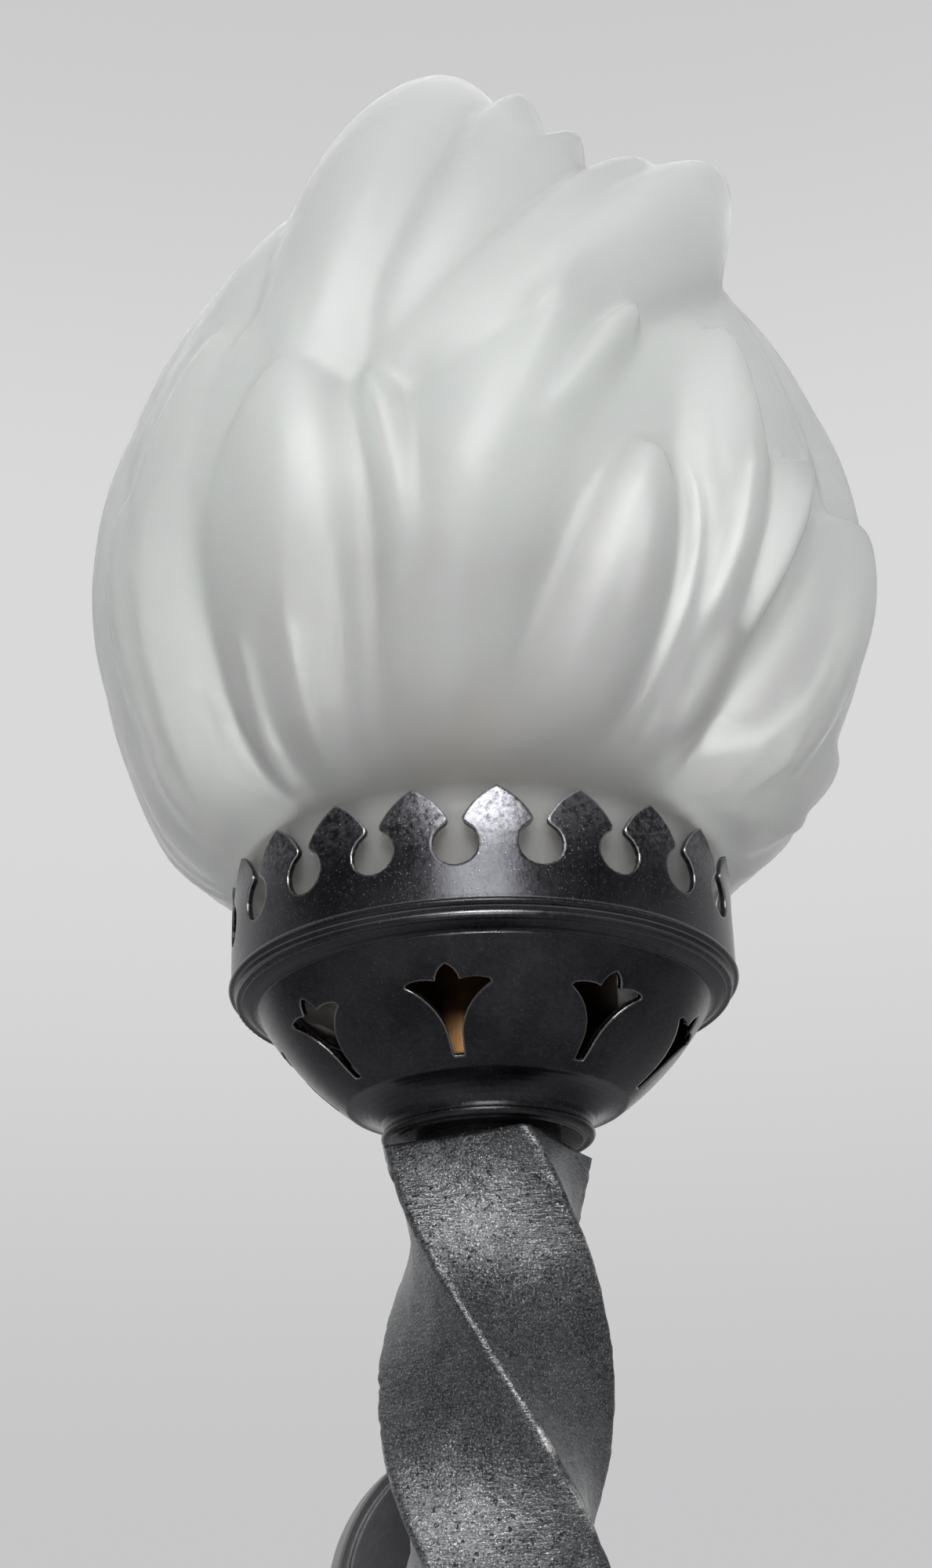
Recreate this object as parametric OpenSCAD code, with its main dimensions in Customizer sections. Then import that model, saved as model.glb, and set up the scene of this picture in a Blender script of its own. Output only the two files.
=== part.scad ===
// Torch sconce: a glass flame stands in a pierced metal cup on a twisted square
// bar, and a short hollow arm carries the bar off a pointed wall plate.
// The origin is the middle of the wall plate, on the wall. +Y runs into the wall,
// +Z is up, and the stem's axis stands in front of the plate at y = -reach.

/* [Layout] */
// Distance from the wall to the stem's axis
reach = 104; // [100:1:130]
// Height of the crown's points above the arm
crown_z = 190; // [175:1:230]

/* [Wall plate] */
// Width of the wall plate
plate_w = 32; // [30:1:44]
// Height of the wall plate, point to point
plate_h = 179; // [160:1:200]
// Depth of the wall plate off the wall
plate_d = 15; // [14:0.5:20]
// Thickness of the plate's sheet
plate_t = 1.6; // [1:0.1:2]
// Radius of the pointed arches at both ends
plate_arch_r = 37; // [32:1:60]
// Width of the lower step round the plate's edge
plate_step = 2.2; // [1:0.1:2.6]
// Length of the wall strap
strap_l = 140; // [136:1:146]
// Width of the wall strap
strap_w = 22; // [18:1:24]
// Thickness of the wall strap
strap_t = 2; // [1.5:0.1:2.4]
// Distance between the two wall screws
wall_screw_pitch = 60; // [56:1:64]
// Diameter of the wall-screw holes
wall_screw_d = 5.2; // [4:0.1:6]
// Distance between the two plate studs
stud_pitch = 116; // [112:1:122]
// Diameter of the plate studs
stud_d = 4; // [3:0.5:5]
// Diameter of the hole for the supply cable
cable_hole_d = 16; // [12:1:17]

/* [Arm and hub] */
// Outer diameter of the arm
arm_d = 18; // [17:0.5:20]
// Diameter of the arm's bore
arm_bore_d = 10; // [9:0.5:11]
// Diameter of the arm's threaded ends
arm_end_d = 14; // [13:0.5:15]
// Width of the square hub
hub_w = 46; // [44:1:52]
// Diameter of the turned collars on the arm
ferrule_d = 26; // [22:1:27]
// Thickness of the turned collars on the arm
ferrule_t = 6; // [4:0.5:9]

/* [Stem] */
// Width of the square bar across its flats, at the hub
bar_w = 34.2; // [32:0.2:36]
// Width of the bar under the cup, as a share of its width at the hub
bar_top_share = 0.912; // [0.85:0.002:1]
// Rounding of the bar's corners
bar_round = 1.4; // [1:0.2:3]
// Twist of the bar in degrees per millimetre
bar_twist = 1.61; // [1:0.01:2.5]
// Length of the lower, tapering bar
tail_l = 54; // [40:1:80]
// Width of the lower bar at its narrow end, as a share of the bar
tail_taper = 0.62; // [0.55:0.01:0.9]
// Length of the turned finial
finial_l = 40; // [34:1:60]
// Diameter of the turned finial's ball
finial_d = 23; // [18:1:26]

/* [Cup] */
// Distance from the glass's rim out to the crown's points
crown_room = 9; // [8.5:0.5:14]
// Height of the upright crown band, points included
band_h = 20.5; // [19:0.5:24]
// Height of the crown's curved underside
under_h = 6; // [5:0.5:9]
// Number of pointed finials round the crown
point_count = 20; // [16:1:21]
// Width of one finial
point_w = 12.9; // [12:0.1:13.4]
// Diameter of the round holes between the finials
hole_d = 8.5; // [7:0.1:9]
// Depth of the round holes' centres below the points
hole_drop = 11.2; // [10.6:0.1:12]
// Thickness of the cup's sheet
sheet_t = 1.2; // [0.8:0.1:1.4]
// Distance from the glass's rim out to the bowl's own rim
bowl_room = 4; // [3:0.1:5]
// Height of the pierced bowl, neck included
bowl_h = 27; // [25:0.5:32]
// Diameter of the bowl's neck
neck_d = 40.6; // [38:0.5:44]
// Number of fleurs cut through the bowl
fleur_count = 8; // [6:1:10]
// Height of one fleur along the bowl's slope
fleur_h = 18.4; // [14:0.2:19]
// Width of one fleur over its side leaves
fleur_w = 16; // [10:0.2:17]
// Diameter of the spacer under the neck
spacer_d = 28; // [20:1:30]
// Thickness of the spacer under the neck
spacer_t = 1.9; // [1:0.1:4]

/* [Glass flame] */
// Outer diameter of the flame's rim, where it stands in the cup
rim_d = 82; // [80:0.5:83]
// Thickness of the glass at the rim
glass_t = 3.6; // [3:0.1:4]
// Thickness of the felt ring under the rim
felt_t = 1.2; // [0.8:0.1:2]
// Height of the flame's middle above the crown's points
flame_mid = 60; // [54:1:70]
// Radius of the flame between its tongues
flame_r = 77; // [74:1:80]
// Height of the flame's dome above its middle, without the tongues
flame_dome = 113; // [105:1:125]
// Height of the tongues, as a share of the real ones
tongue_share = 1; // [0.7:0.05:1.2]

/* [Lampholder] */
// Diameter of the brass sleeve round the lampholder
sleeve_d = 53; // [51:0.5:54]
// Height of the brass sleeve
sleeve_h = 78; // [74:1:90]
// Thickness of the brass sleeve
sleeve_t = 1; // [0.6:0.1:1.4]
// Height of the sleeve above the cup's floor
sleeve_lift = 9; // [8.5:0.5:12]
// Diameter of the lampholder
holder_d = 39.5; // [38:0.5:41]
// Height of the lampholder's cap
holder_cap_h = 22; // [20:1:26]
// Height of the lampholder's barrel
holder_barrel_h = 34; // [32:1:38]
// Diameter of the threaded tube through the stem
tube_d = 10; // [10:0.5:12]
// Diameter of the threaded tube's bore
tube_bore_d = 7.4; // [7:0.1:8]
// Diameter of the lamp's screw cap over its thread
cap_thread_d = 26.4; // [26:0.1:26.8]
// Diameter of the bulb
bulb_d = 60; // [50:1:62]
// Length of the bulb above the lampholder
bulb_l = 78; // [70:1:90]

/* [Wiring] */
// Diameter of one wire over its insulation
wire_d = 2.2; // [1.8:0.1:2.4]
// Distance between the two wires in the threaded tube
wire_pitch = 3.5; // [3:0.1:3.8]

/* [Hidden] */

$fn = 64;
// Clearance round a bolt or tube in a plain hole
hole_gap = 0.2;
// Gap under and beside a piece that lifts or turns
move_gap = 0.3;
// Extra length of a cut past the face that it opens
past = 1;

// Wall plate, from the wall outwards
plate_face_y = -plate_d;
plate_arch_off = plate_arch_r - plate_w / 2;
plate_arch_rise = sqrt(pow(plate_arch_r, 2) - pow(plate_arch_off, 2));
plate_spring_z = plate_h / 2 - plate_arch_rise;
plate_step_d = 3;
stud_past_plate = 5;
cap_nut_r = 4.4;
cap_nut_h = 3.2;

// Arm and hub
hub_ball_r = hub_w * 0.775;
hub_top_z = hub_w / 2;
hub_room_d = arm_end_d;
hub_room_z = 9;
arm_front_y = -reach + hub_w / 2;
arm_socket = 10;
arm_nut_t = 4;
arm_nut_r = arm_end_d / 2 + 5.4;
arm_end_y = plate_face_y + plate_t + arm_nut_t + 1;

// Heights of the stack on the stem's axis
under_z = crown_z - band_h;
bowl_top_z = under_z - under_h;
bowl_base_z = bowl_top_z - bowl_h;
floor_z = bowl_base_z + sheet_t;
stem_top_z = bowl_base_z - spacer_t;
tail_z = -hub_top_z - tail_l;
collar_t = 7;
collar_r = bar_w * tail_taper * 0.82;
finial_z = tail_z - collar_t;
tie_rod_d = 8;
tie_rod_hold = 11;

// Twisted bar: a corner faces 6.6 degrees right of the front at its top
bar_top_turn = 51.6;
bar_face_steps = 3;
bar_corner_steps = 2;
bar_slice = 3;
stem_room_d = 20;
stem_cap_t = 8;

// Cup
rim_r = rim_d / 2;
crown_r = rim_r + crown_room;
bowl_r = rim_r + bowl_room;
ledge_r = rim_r - glass_t;
point_half_pitch = crown_r * sin(180 / point_count);
point_corner_r = 1.1;
point_side_r = 14;
point_tip_w = 0.6;
neck_r = neck_d / 2;
neck_h = 3.9;
neck_chamfer = 1.8;
neck_roll = 1;
// Two fine beads round the crown's underside, at these shares of its curve
bead_r = 0.7;
bead_places = [0.26, 0.58];
bowl_foot_r = neck_r + 7.1;
bowl_foot_h = 7.1;
bowl_swell = 1.4;
under_swell = 1.5;
fleur_drop = 5.5;

// Flame
felt_top_z = bowl_top_z + sheet_t + felt_t;
rim_z = felt_top_z + move_gap;
flame_z = crown_z + flame_mid;
flame_az_steps = 90;
flame_dome_rows = 22;
flame_inner_lift = 0.7;
flame_inner_reach = 7;
// Softness of a tongue's flanks, and how sharply one tongue runs into the next
flank = 1.35;
melt = 7;
// The dome narrows upwards, ends in a soft peak and leans to the right
flame_narrowing = 1.25;
flame_peak = 9;
flame_lean = 4;
// Height over the crown's points in which the tongues fade in
flame_fade = 12;
// Lower half of the base form as shares of its way from the crown's points up to
// the flame's middle, and from the crown's radius out to the flame's
flame_skirt = [[0.032, 0.022], [0.06, 0.163], [0.11, 0.319], [0.192, 0.459],
               [0.283, 0.578], [0.4, 0.689], [0.533, 0.793], [0.683, 0.896],
               [0.833, 0.97]];
// Tongues of the flame, each a leaf that runs from its tip down to its foot:
// [tip azimuth, tip polar angle, middle azimuth, middle polar angle,
//  foot azimuth, foot polar angle, half width in degrees, height in mm].
// Azimuth 0 faces the room and rises to the right; the polar angle is 0 straight
// up from the flame's middle.
tongues = [
    // front, left to right
    [-52, 64, -66, 100, -74, 146, 15, 4], [-37, 77, -40, 102, -44, 148, 16.5, 7],
    [-38, 65, -42, 90, -46, 130, 15, 5], [-26, 80, -22, 104, -28, 136, 5, 4.5],
    [-21, 10, -28, 46, -38, 84, 17, 16], [2, 26, -10, 48, -26, 76, 9, 14.5],
    [12, 34, -4, 50, -26, 78, 7, 11.5], [26, 38, 4, 55, -24, 82, 8, 12],
    [56, 32, 20, 52, -20, 82, 11, 17], [4, 62, -12, 98, -24, 146, 12, 6],
    [28, 66, 26, 96, 12, 146, 10, 6], [13, 91, 9, 112, -20, 146, 9.5, 5.5],
    [60, 84, 57, 104, 22, 138, 12.5, 9], [40, 84, 36, 96, 30, 116, 5, 8],
    [76, 114, 66, 124, 40, 140, 8, 6], [75, 126, 66, 133, 40, 146, 7, 5],
    // right side and back
    [72, 58, 72, 88, 64, 136, 14, 7], [94, 86, 88, 112, 78, 148, 13, 3],
    [90, 24, 78, 54, 66, 92, 14, 9], [118, 22, 108, 52, 98, 94, 17, 9],
    [118, 62, 116, 98, 104, 146, 15, 4], [136, 88, 132, 112, 124, 148, 13, 3],
    [150, 18, 146, 50, 140, 98, 18, 16], [152, 60, 154, 98, 148, 146, 14, 6],
    [172, 84, 170, 112, 162, 148, 13, 6], [188, 14, 184, 48, 178, 92, 18, 19],
    [192, 62, 194, 98, 188, 146, 15, 6], [210, 86, 208, 112, 200, 148, 13, 5],
    // left side
    [228, 20, 226, 52, 222, 96, 18, 8], [232, 62, 232, 98, 222, 146, 15, 3],
    [250, 88, 248, 112, 240, 148, 13, 3], [272, 22, 268, 54, 264, 96, 16, 2.5],
    [268, 60, 270, 98, 260, 146, 14, 3], [288, 84, 286, 112, 276, 148, 13, 4],
    [306, 36, 304, 62, 302, 98, 14, 2], [304, 64, 302, 98, 292, 146, 14, 3],
    // folds on the middle tongue
    [3, 67, -2, 78, -10, 97, 3.5, 8], [12, 70, 4, 81, -7, 97, 4, 8],
    // peak
    [210, 3, 120, 16, 70, 44, 15, 12], [40, 2, 250, 14, 262, 40, 14, 10]
];

// Lampholder and lamp
sleeve_z = floor_z + sleeve_lift;
sleeve_top_z = sleeve_z + sleeve_h;
sleeve_below_top = 3;
holder_top_z = sleeve_top_z - sleeve_below_top;
barrel_z = holder_top_z - holder_barrel_h;
holder_z = barrel_z - holder_cap_h;
holder_r = holder_d / 2;
holder_wall = 2.4;
holder_floor = 3;
tube_top_z = holder_z + 8;
insulator_t = 5;
insulator_z = barrel_z + 1;
contact_z = insulator_z + insulator_t;
contact_rise = 3;
shell_t = 0.6;
shell_r = cap_thread_d / 2 + move_gap + shell_t;
lamp_tip_z = contact_z + contact_rise + move_gap;
tip_r = 4.8;
tip_h = 1.6;
black_glass_h = 4;
lamp_cap_h = 20;
lamp_cap_z = lamp_tip_z + tip_h + black_glass_h;
bulb_z = lamp_cap_z + lamp_cap_h;
bulb_top_z = holder_top_z + bulb_l;
bulb_neck_r = 12.6;
bulb_wall = 1;

// Wiring
terminal_z = -37;
terminal_h = 12;
terminal_w = 22;
terminal_d = 8.4;
terminal_pitch = 7;
terminal_y = -strap_t - terminal_d / 2;
earth_screw_x = terminal_pitch;
earth_screw_z = -17;
wire_r = wire_d / 2;
hub_bend_r = 7;
plate_bend_r = 4.4;

function unit(v) = v / norm(v);

// Points on a circular arc from p to q that bulges to the right by sag
function arc(p, q, sag, n = 8) =
    let (chord = norm(q - p), u = (q - p) / chord,
         out = [u[1], -u[0]] * sign(sag),
         r = (chord * chord / 4 + sag * sag) / (2 * abs(sag)),
         centre = (p + q) / 2 - out * (r - abs(sag)), half = asin(chord / 2 / r))
    [for (i = [0:n]) let (t = half * (2 * i / n - 1)) centre + r * (out * cos(t) + u * sin(t))];

// Points on a circle between two angles
function round_part(c, r, from, to, n = 5) =
    [for (i = [0:n]) let (t = from + (to - from) * i / n) c + r * [cos(t), sin(t)]];

// A profile with a wall of thickness t on its left side, as one closed outline
function left_of(p, i) =
    let (a = p[max(i - 1, 0)], b = p[min(i + 1, len(p) - 1)], u = unit(b - a)) [-u[1], u[0]];
function walled(p, t) =
    concat(p, [for (i = [len(p) - 1:-1:0]) p[i] + t * left_of(p, i)]);

module on_axis(z = 0) {
    translate([0, -reach, z]) children();
}

// Cylinder along -Y from a given y
module rod_y(y, length, r, fn = 64) {
    translate([0, y, 0]) rotate([90, 0, 0]) cylinder(h = length, r = r, $fn = fn);
}

module ring(z, h, outer, inner) {
    on_axis(z) difference() {
        cylinder(h = h, r = outer);
        translate([0, 0, -past]) cylinder(h = h + 2 * past, r = inner);
    }
}

// Pointed arch at both ends; inset moves the whole outline inwards
module lancet(inset) {
    w = plate_w - 2 * inset;
    r = plate_arch_r - inset;
    square([w, 2 * plate_spring_z], center = true);
    for (end = [0, 1]) mirror([0, end]) translate([0, plate_spring_z]) intersection() {
        translate([-plate_arch_off, 0]) circle(r = r, $fn = 96);
        translate([plate_arch_off, 0]) circle(r = r, $fn = 96);
        translate([-w, 0]) square([2 * w, 2 * r]);
    }
}

// Flat shape drawn on the wall (x right, y up), raised from the wall by depth
module off_wall(y, depth) {
    translate([0, y, 0]) rotate([90, 0, 0]) linear_extrude(depth) children();
}

module wall_strap() color("dimgray") difference() {
    off_wall(0, strap_t) square([strap_w, strap_l], center = true);
    rod_y(past, strap_t + 2 * past, cable_hole_d / 2);
    for (side = [-1, 1]) {
        translate([0, 0, side * wall_screw_pitch / 2])
            rod_y(past, strap_t + 2 * past, wall_screw_d / 2);
        translate([0, 0, side * stud_pitch / 2])
            rod_y(past, strap_t + 2 * past, stud_d / 2);
    }
    translate([earth_screw_x, 0, earth_screw_z]) rod_y(past, strap_t + 2 * past, 1.5);
}

module strap_studs() color("silver")
    for (side = [-1, 1]) translate([0, 0, side * stud_pitch / 2])
        rod_y(0, plate_d + stud_past_plate, stud_d / 2, 32);

module earth_screw() color("goldenrod")
    translate([earth_screw_x, 0, earth_screw_z]) difference() {
        union() {
            rod_y(0, strap_t + wire_d + 0.2, 1.5, 32);
            rod_y(-strap_t - wire_d - 0.2, 1.6, 3.2, 32);
        }
        translate([-4, -strap_t - wire_d - 3, -0.4]) cube([8, 2, 0.8]);
    }

module terminal_block() color("ivory") difference() {
    union() {
        translate([-terminal_w / 2, -strap_t - terminal_d, terminal_z - terminal_h])
            cube([terminal_w, terminal_d, terminal_h]);
        for (x = [-1:1]) translate([x * terminal_pitch, 0, terminal_z - terminal_h / 2])
            rod_y(-strap_t - terminal_d, 1.6, 2.8, 32);
    }
    for (x = [-1:1]) {
        translate([x * terminal_pitch, terminal_y, terminal_z - 5])
            cylinder(h = 5 + past, r = wire_r + hole_gap, $fn = 32);
        translate([x * terminal_pitch, 0, terminal_z - terminal_h / 2])
            rod_y(-strap_t - terminal_d + 1.4, 4, 1.6, 32);
    }
}

module terminal_screws() color("gainsboro")
    for (x = [-1:1]) translate([x * terminal_pitch, 0, terminal_z - terminal_h / 2])
        difference() {
            rod_y(-strap_t - terminal_d + 1.2, 2.2, 1.5, 32);
            translate([-2, -strap_t - terminal_d - 2, -0.3]) cube([4, 1.6, 0.6]);
        }

module wall_plate() color("#3a3a3c") difference() {
    union() {
        off_wall(0, plate_d - plate_step_d) lancet(0);
        off_wall(0, plate_d) lancet(plate_step);
    }
    off_wall(past, plate_d - plate_t + past) lancet(plate_step + plate_t);
    off_wall(past, plate_d - plate_step_d - plate_t + past) lancet(plate_t);
    rod_y(past, plate_d + 2 * past, arm_end_d / 2 + hole_gap);
    for (side = [-1, 1]) translate([0, 0, side * stud_pitch / 2])
        rod_y(past, plate_d + 2 * past, stud_d / 2 + hole_gap, 32);
}

module cap_nuts() color("#4a4a4c")
    for (side = [-1, 1]) translate([0, 0, side * stud_pitch / 2]) difference() {
        union() {
            rod_y(plate_face_y, cap_nut_h, cap_nut_r, 6);
            intersection() {
                translate([0, plate_face_y - cap_nut_h, 0]) sphere(r = cap_nut_r * 0.86);
                rod_y(plate_face_y - past, 3 * cap_nut_h, cap_nut_r);
            }
        }
        rod_y(plate_face_y + past, stud_past_plate + past, stud_d / 2, 32);
    }

module arm_tube() color("#4a4a4c") difference() {
    union() {
        rod_y(arm_end_y, arm_end_y - arm_front_y + arm_socket, arm_end_d / 2);
        rod_y(plate_face_y, plate_face_y - arm_front_y, arm_d / 2);
    }
    rod_y(arm_end_y + past, arm_end_y - arm_front_y + arm_socket + 2 * past, arm_bore_d / 2);
}

module arm_nut() color("silver") difference() {
    rod_y(plate_face_y + plate_t + arm_nut_t, arm_nut_t, arm_nut_r, 6);
    rod_y(plate_face_y + plate_t + arm_nut_t + past, arm_nut_t + 2 * past, arm_end_d / 2);
}

// Turned collar round the arm: a full disc and a narrower hollow-sided neck
module ferrule(y, out) {
    scoop = (ferrule_d - arm_d) / 2 - 1;
    translate([0, y, 0]) rotate([90 * out, 0, 0]) rotate_extrude() difference() {
        translate([arm_d / 2, 0]) square([(ferrule_d - arm_d) / 2, ferrule_t]);
        translate([ferrule_d / 2, ferrule_t]) circle(r = scoop, $fn = 48);
    }
}

module rear_ferrule() color("#4a4a4c") ferrule(plate_face_y, 1);

module front_ferrule() color("#4a4a4c") ferrule(arm_front_y, -1);

module hub() color("#505052") on_axis() difference() {
    intersection() {
        cube(hub_w, center = true);
        sphere(r = hub_ball_r, $fn = 96);
    }
    translate([0, 0, -hub_room_z]) cylinder(h = 2 * hub_room_z, r = hub_room_d / 2);
    cylinder(h = hub_w, r = tube_d / 2);
    translate([0, 0, -hub_w]) cylinder(h = hub_w, r = tie_rod_d / 2);
    rod_y(hub_w / 2 + past, hub_w / 2 + past, arm_bore_d / 2);
    rod_y(hub_w / 2 + past, arm_socket + past, arm_end_d / 2);
}

// Cross-section of the square bar: softened corners and faces cut in short steps
module bar_section() {
    half = bar_w / 2;
    corner = half - bar_round;
    polygon([for (q = [0:3]) each concat(
        [for (p = round_part([corner, corner], bar_round, 0, 90, bar_corner_steps))
            [p[0] * cos(90 * q) - p[1] * sin(90 * q), p[0] * sin(90 * q) + p[1] * cos(90 * q)]],
        [for (i = [1:bar_face_steps - 1]) let (x = corner - 2 * corner * i / bar_face_steps)
            [x * cos(90 * q) - half * sin(90 * q), x * sin(90 * q) + half * cos(90 * q)]])]);
}

module twisted_stem() color("#77777a") on_axis(hub_top_z) difference() {
    length = stem_top_z - hub_top_z;
    rotate(bar_top_turn + bar_twist * length)
        linear_extrude(length, twist = bar_twist * length, scale = bar_top_share,
                       slices = ceil(length / bar_slice), $fn = 24) bar_section();
    translate([0, 0, -past]) cylinder(h = length + 2 * past, r = tube_d / 2 + hole_gap);
    translate([0, 0, -past]) cylinder(h = length - stem_cap_t + past, r = stem_room_d / 2);
}

module tail_bar() color("#77777a") on_axis(-hub_top_z) difference() {
    above = stem_top_z + hub_top_z;
    rotate([180, 0, 0]) rotate(-bar_top_turn - bar_twist * above)
        linear_extrude(tail_l, twist = bar_twist * tail_l, scale = tail_taper,
                       slices = ceil(tail_l / bar_slice), $fn = 24) bar_section();
    translate([0, 0, -tail_l - past]) cylinder(h = tail_l + 2 * past, r = tie_rod_d / 2 + hole_gap);
}

module tie_rod() color("silver") on_axis(finial_z - tie_rod_hold)
    cylinder(h = -hub_room_z - finial_z + tie_rod_hold, r = tie_rod_d / 2, $fn = 48);

module tail_collar() color("#505052") on_axis(finial_z) difference() {
    rotate_extrude() polygon(concat([[0, 0]],
        arc([collar_r - 1, 0], [collar_r - 1, collar_t], 2), [[0, collar_t]]));
    translate([0, 0, -past]) cylinder(h = collar_t + 2 * past, r = tie_rod_d / 2 + hole_gap);
}

module tail_finial() color("#505052") on_axis(finial_z) difference() {
    ball_r = finial_d / 2;
    neck = tie_rod_d / 2 + 3;
    ball_end = -4 - finial_d * 0.75;
    rotate_extrude() polygon(concat([[0, -finial_l]],
        arc([0.8, -finial_l], [ball_r * 0.62, ball_end], -1.5),
        arc([ball_r * 0.62, ball_end], [neck, -4], ball_r * 0.69 - neck / 2, 14),
        [[neck + 1.6, -4], [neck + 1.6, 0], [0, 0]]));
    translate([0, 0, -tie_rod_hold]) cylinder(h = tie_rod_hold + past, r = tie_rod_d / 2);
}

module threaded_tube() color("darkgoldenrod")
    ring(hub_room_z, tube_top_z - hub_room_z, tube_d / 2, tube_bore_d / 2);

module neck_spacer() color("#3a3a3c")
    ring(stem_top_z, spacer_t, spacer_d / 2, tube_d / 2 + hole_gap);

// Fleur outline, tip at the origin and stalk downwards: half of it, then mirrored
function fleur_half() =
    let (w = fleur_w / 2, h = fleur_h)
    concat(arc([0, 0], [w * 0.28, -h * 0.175], -0.5, 4),
           arc([w * 0.28, -h * 0.175], [w * 0.96, -h * 0.2], -0.5, 4),
           [[w, -h * 0.235]],
           arc([w, -h * 0.235], [w * 0.15, -h * 0.84], 1.9, 8),
           [[w * 0.12, -h]]);

module fleur() {
    half = fleur_half();
    polygon(concat(half, [for (i = [len(half) - 1:-1:1]) [-half[i][0], half[i][1]]]));
}

// Round bead or roll about the axis, half sunk in the surface at [radius, height]
module bead(at, r) {
    rotate_extrude($fn = 128) translate(at) circle(r = r, $fn = 24);
}

// Profile of the bowl from its floor hole, round the neck and up to the rim
function bowl_profile() = concat(
    [[tube_d / 2 + hole_gap, 0], [neck_r - neck_chamfer, 0], [neck_r, neck_chamfer],
     [neck_r, neck_h - 1.2]],
    arc([neck_r + 0.5, neck_h], [bowl_foot_r, bowl_foot_h], -0.7, 5),
    arc([bowl_foot_r, bowl_foot_h], [bowl_r, bowl_h], bowl_swell, 10));

module pierced_bowl() color("#4c4c4f") on_axis() difference() {
    slope = atan2(bowl_h - bowl_foot_h, bowl_r - bowl_foot_r);
    translate([0, 0, bowl_base_z]) {
        rotate_extrude($fn = 128)
            polygon([for (p = walled(bowl_profile(), sheet_t)) [p[0], min(p[1], bowl_h)]]);
        bead([neck_r - neck_roll / 2, neck_roll + 0.1], neck_roll);
    }
    for (i = [0:fleur_count - 1]) rotate([0, 0, (i + 0.5) * 360 / fleur_count])
        translate([0, -bowl_r, bowl_top_z]) rotate([180 - slope, 0, 0])
            translate([0, -fleur_drop, -5]) linear_extrude(9) fleur();
}

// Right-hand edge of the gap between two finials, from the round hole to the tip
function point_edge() =
    let (h = point_half_pitch, hole_r = hole_d / 2,
         corner_x = h - point_w / 2 + point_corner_r,
         corner_z = -hole_drop + sqrt(pow(hole_r + point_corner_r, 2) - corner_x * corner_x),
         corner = [corner_x, corner_z], tip = [h, 0],
         span = norm(tip - corner), u = (tip - corner) / span,
         inner = point_side_r - point_corner_r,
         along = (inner * inner - point_side_r * point_side_r + span * span) / (2 * span),
         centre = corner + along * u
                  + sqrt(inner * inner - along * along) * [u[1], -u[0]],
         start = atan2(-hole_drop - corner_z, -corner_x) + 360,
         meet = atan2(corner_z - centre[1], corner_x - centre[0]),
         end = acos((h - point_tip_w / 2 - centre[0]) / point_side_r))
    concat(round_part(corner, point_corner_r, start, meet, 5),
           [for (i = [1:6]) let (a = meet + (end - meet) * i / 6)
               centre + point_side_r * [cos(a), sin(a)]]);

module point_gap() {
    edge = point_edge();
    top = [edge[len(edge) - 1][0], 3];
    low = atan2(edge[0][1] + hole_drop, edge[0][0]);
    polygon(concat(edge, [top, [-top[0], top[1]]],
                   [for (i = [len(edge) - 1:-1:0]) [-edge[i][0], edge[i][1]]],
                   [for (i = [1:15]) let (a = 180 - low + (180 + 2 * low) * i / 16)
                       [hole_d / 2 * cos(a), hole_d / 2 * sin(a) - hole_drop]]));
}

// Profile of the crown from its inner ledge, round the underside and up the band
crown_under = arc([bowl_r + 0.4, 0.3], [crown_r, under_h], under_swell, 8);
function crown_profile() = concat(
    [[ledge_r, 0], [bowl_r, 0]], crown_under, [[crown_r, under_h + band_h]]);

// Point at a share of the way up the crown's underside, from the band down
function under_point(share) =
    let (k = (1 - share) * (len(crown_under) - 1), i = floor(k))
    crown_under[i] + (k - i) * (crown_under[i + 1] - crown_under[i]);

module crown_gallery() color("#55555a") on_axis() difference() {
    translate([0, 0, bowl_top_z]) {
        rotate_extrude($fn = 128) polygon(walled(crown_profile(), sheet_t));
        for (share = bead_places) bead(under_point(share), bead_r);
    }
    for (i = [0:point_count - 1]) rotate([0, 0, i * 360 / point_count])
        translate([0, -crown_r + 5, crown_z]) rotate([90, 0, 0]) linear_extrude(8) point_gap();
}

module felt_ring() color("#5b4a38")
    ring(bowl_top_z + sheet_t, felt_t, rim_r, rim_r - glass_t + 0.4);

// Base form of the flame from the rim to the top, as [radius, height] from its middle
function flame_rows() = concat(
    [[rim_r, rim_z - flame_z]],
    [for (t = [0.35, 0.7]) [rim_r + (crown_r - sheet_t - 0.9 - rim_r) * t,
                            rim_z + (crown_z - 3 - rim_z) * t - flame_z]],
    [[crown_r - sheet_t - 0.9, crown_z - 3 - flame_z],
     [crown_r - sheet_t - 0.7, crown_z + 0.6 - flame_z]],
    [for (p = flame_skirt) [crown_r + (flame_r - crown_r) * p[1],
                            (p[0] - 1) * flame_mid]],
    [for (i = [0:flame_dome_rows - 1]) let (a = 90 * i / flame_dome_rows)
        [flame_r * pow(cos(a), flame_narrowing),
         flame_dome * sin(a) + flame_peak * pow(sin(a), 8)]]);

// Unit vector from the flame's middle
function towards(az, polar) = [sin(az) * sin(polar), -cos(az) * sin(polar), cos(polar)];

// Frame of one tongue: its tip, the way from there to its foot, its side, the angle
// between tip and foot, and how far its middle bows to the side
function tongue_frame(t) =
    let (tip = towards(t[0], t[1]), middle = towards(t[2], t[3]), foot = towards(t[4], t[5]),
         side = unit(cross(tip, foot)), way = cross(side, tip), span = acos(tip * foot),
         halfway = atan2(middle * way, middle * tip) / span)
    [tip, way, side, span, asin(middle * side) / sin(180 * halfway)];
tongue_frames = [for (t = tongues) tongue_frame(t)];

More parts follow.
